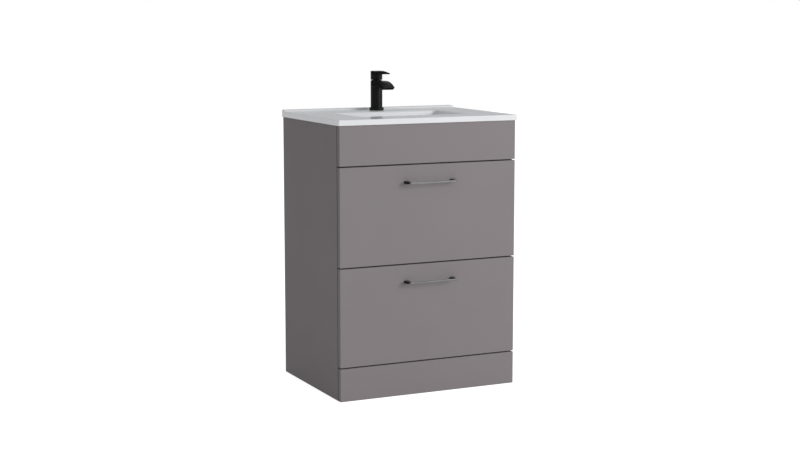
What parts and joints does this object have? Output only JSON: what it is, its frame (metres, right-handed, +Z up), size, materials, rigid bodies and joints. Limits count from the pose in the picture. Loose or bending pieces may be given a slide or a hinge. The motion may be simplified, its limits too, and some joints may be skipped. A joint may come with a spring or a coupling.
{
  "type": "bathroom vanity cabinet",
  "caption": "Floor-standing vanity with two full-extension drawers, a plinth, a false front panel, an inset-bowl ceramic basin and a lever mixer tap with a flat spout.",
  "frame": {"origin": "on the floor under the middle of the whole object's box", "axes": "+X to the right as seen from the front, the front faces -Y, the wall is at +Y, +Z up"},
  "size_m": [0.61, 0.492, 0.987],
  "materials": {
    "front_board": "matt warm grey lacquer on board",
    "cabinet_board": "matt warm grey melamine-faced board",
    "drawer_board": "light grey melamine-faced board",
    "beech": "fluted beech",
    "zinc_steel": "bright zinc plate",
    "zinc_diecast": "plain die casting",
    "runner_steel": "zinc-plated roll-formed steel",
    "handle_metal": "dark polished plate",
    "soft_rubber": "soft moulded",
    "glazed_ceramic": "white gloss glaze",
    "chrome_brass": "polished chrome on brass",
    "brass": "turned",
    "matt_black_brass": "matt black coating on brass",
    "cartridge_ceramic": "moulded housing with ceramic discs",
    "cartridge_plastic": "moulded"
  },
  "bodies": {
    "cabinet": {"side_panel_left": "cabinet_board", "side_panel_right": "cabinet_board", "base_panel": "cabinet_board", "front_top_rail": "cabinet_board", "upper_divider_rail": "cabinet_board", "lower_divider_rail": "cabinet_board", "plinth_rail": "cabinet_board", "rear_top_rail": "cabinet_board", "rear_bottom_rail": "cabinet_board", "false_front_panel": "front_board", "plinth_panel": "front_board", "front_panel_screws": "zinc_steel", "cam_fittings": "zinc_diecast", "joining_dowels": "beech", "wall_brackets": "zinc_steel", "wall_bracket_screws": "zinc_steel", "upper_cabinet_runner_left": "runner_steel", "upper_cabinet_runner_right": "runner_steel", "lower_cabinet_runner_left": "runner_steel", "lower_cabinet_runner_right": "runner_steel", "cabinet_runner_screws": "zinc_steel", "basin": "glazed_ceramic", "waste_body": "chrome_brass", "waste_seals": "soft_rubber", "waste_back_nut": "brass", "tap_body": "matt_black_brass", "tap_base_ring": "matt_black_brass", "tap_seals": "soft_rubber", "tap_cartridge": "cartridge_ceramic", "cartridge_nut": "matt_black_brass", "tap_fixing_kit": "brass"},
    "upper_drawer": {"upper_drawer_front": "front_board", "upper_handle": "handle_metal", "upper_handle_screws": "zinc_steel", "upper_box_side_left": "drawer_board", "upper_box_side_right": "drawer_board", "upper_box_bottom": "drawer_board", "upper_drawer_runners": "runner_steel", "upper_runner_screws": "zinc_steel", "upper_bumpers": "soft_rubber", "upper_box_backs": "drawer_board", "upper_box_cutout_liner": "drawer_board"},
    "lower_drawer": {"lower_drawer_front": "front_board", "lower_handle": "handle_metal", "lower_handle_screws": "zinc_steel", "lower_box_side_left": "drawer_board", "lower_box_side_right": "drawer_board", "lower_box_bottom": "drawer_board", "lower_drawer_runners": "runner_steel", "lower_runner_screws": "zinc_steel", "lower_bumpers": "soft_rubber", "lower_box_back": "drawer_board"},
    "upper_middle_runners": {"upper_middle_runner_left": "runner_steel", "upper_middle_runner_right": "runner_steel"},
    "lower_middle_runners": {"lower_middle_runner_left": "runner_steel", "lower_middle_runner_right": "runner_steel"},
    "plug": {"waste_plug": "chrome_brass"},
    "turret": {"cartridge_turret": "cartridge_plastic"},
    "lever": {"tap_lever": "matt_black_brass", "lever_spindle": "brass"}
  },
  "joints": [
    {"name": "upper_drawer_slide", "type": "slide", "parent": "cabinet", "child": "upper_drawer", "axis": [0, -1, 0], "range_m": [0, 0.4]},
    {"name": "lower_drawer_slide", "type": "slide", "parent": "cabinet", "child": "lower_drawer", "axis": [0, -1, 0], "range_m": [0, 0.4]},
    {"name": "upper_middle_slide", "type": "slide", "parent": "cabinet", "child": "upper_middle_runners", "axis": [0, -1, 0], "range_m": [0, 0.2]},
    {"name": "lower_middle_slide", "type": "slide", "parent": "cabinet", "child": "lower_middle_runners", "axis": [0, -1, 0], "range_m": [0, 0.2]},
    {"name": "plug_lift", "type": "slide", "parent": "cabinet", "child": "plug", "axis": [0, 0, 1], "range_m": [0, 0.008]},
    {"name": "tap_swivel", "type": "hinge", "parent": "cabinet", "child": "turret", "pos_m": [0, 0.176, 0.938], "axis": [0, 0, 1], "range_deg": [-45, 45]},
    {"name": "lever_lift", "type": "hinge", "parent": "turret", "child": "lever", "pos_m": [0, 0.176, 0.938], "axis": [-1, 0, 0], "range_deg": [0, 20]}
  ],
  "couplings": [
    {"joint": "upper_middle_slide", "follows": "upper_drawer_slide", "ratio": 0.5},
    {"joint": "lower_middle_slide", "follows": "lower_drawer_slide", "ratio": 0.5}
  ]
}
